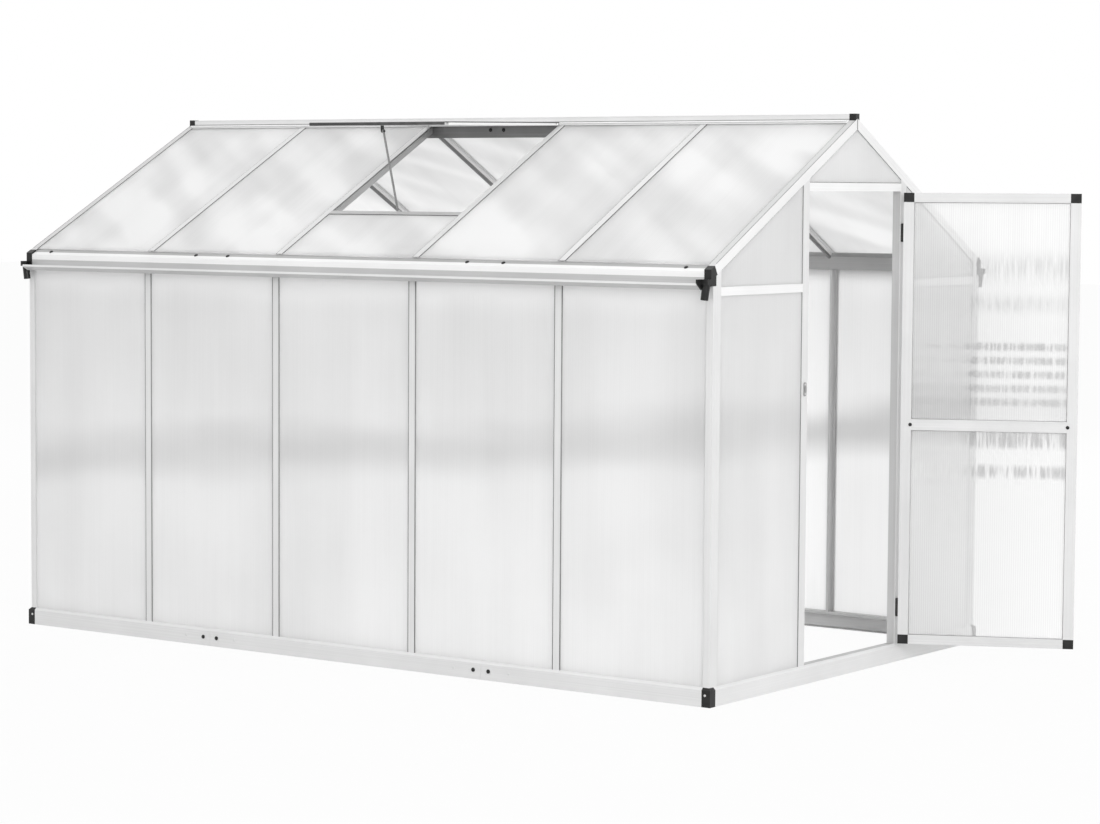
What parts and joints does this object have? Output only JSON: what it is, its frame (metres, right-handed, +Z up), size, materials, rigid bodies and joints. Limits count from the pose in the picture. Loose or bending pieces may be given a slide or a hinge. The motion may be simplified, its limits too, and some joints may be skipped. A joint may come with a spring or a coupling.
{
  "type": "greenhouse",
  "caption": "Gable greenhouse of aluminium glazing bars and translucent twin-wall panes, with gutters and drain spouts, a hinged door and a propped roof vent.",
  "frame": {"origin": "centre of the base on the ground", "axes": "+X along the ridge to the door gable, +Y to the back wall, +Z up"},
  "size_m": [3.592, 1.911, 1.8988],
  "materials": {
    "aluminium": "satin, pale silver",
    "twin_wall": "clear twin-wall sheet, made cloudy by its flutes",
    "black_moulding": "fine matt moulded",
    "steel": "zinc plated"
  },
  "bodies": {
    "frame": {"base_front": "aluminium", "base_back": "aluminium", "base_door_end": "aluminium", "base_rear_end": "aluminium", "base_corner_caps": "black_moulding", "base_splice_plates": "steel", "post_door_front": "aluminium", "post_door_back": "aluminium", "post_rear_front": "aluminium", "post_rear_back": "aluminium", "front_studs": "aluminium", "back_studs": "aluminium", "front_gutter": "aluminium", "back_gutter": "aluminium", "gutter_sleeves": "steel", "gutter_outlets": "black_moulding", "eave_corner_covers": "black_moulding", "rafter_door_front": "aluminium", "rafter_door_back": "aluminium", "rafter_rear_front": "aluminium", "rafter_rear_back": "aluminium", "front_roof_bars": "aluminium", "back_roof_bars": "aluminium", "ridge_door_half": "aluminium", "ridge_rear_half": "aluminium", "ridge_splice": "steel", "ridge_end_caps": "black_moulding", "jamb_catch": "aluminium", "jamb_hinge": "aluminium", "door_header": "aluminium", "gable_rail_front": "aluminium", "gable_rail_back": "aluminium", "rear_gable_studs": "aluminium", "rear_gable_rails": "aluminium", "vent_sill": "aluminium", "side_panes_front": "twin_wall", "side_panes_back": "twin_wall", "roof_panes_front": "twin_wall", "roof_panes_back": "twin_wall", "gable_panes_door": "twin_wall", "gable_panes_rear": "twin_wall", "door_catch": "steel", "hinge_jamb_leaves": "steel", "hinge_pins": "steel"},
    "door": {"door_stile_hinge": "aluminium", "door_stile_free": "aluminium", "door_top_rail": "aluminium", "door_mid_rail": "aluminium", "door_bottom_rail": "aluminium", "door_panes": "twin_wall", "door_corner_caps": "black_moulding", "hinge_door_leaves": "steel"},
    "roof_vent": {"vent_hinge_rail": "aluminium", "vent_lower_rail": "aluminium", "vent_side_rails": "aluminium", "vent_pane": "twin_wall", "stay_bracket": "steel"},
    "vent_stay": {"vent_stay": "steel"}
  },
  "joints": [
    {"name": "door_hinge", "type": "hinge", "parent": "frame", "child": "door", "pos_m": [1.513, 0.308, 0.85], "axis": [0, 0, 1], "range_deg": [-115, 55]},
    {"name": "vent_hinge", "type": "hinge", "parent": "frame", "child": "roof_vent", "pos_m": [0, -0.03065, 1.8717], "axis": [-1, 0, 0], "range_deg": [-27.5, 0]},
    {"name": "stay_pivot", "type": "hinge", "parent": "roof_vent", "child": "vent_stay", "pos_m": [0, -0.67014, 1.83674], "axis": [-1, 0, 0], "range_deg": [0, 13.75]}
  ],
  "couplings": [
    {"joint": "stay_pivot", "follows": "vent_hinge", "ratio": -0.5}
  ]
}
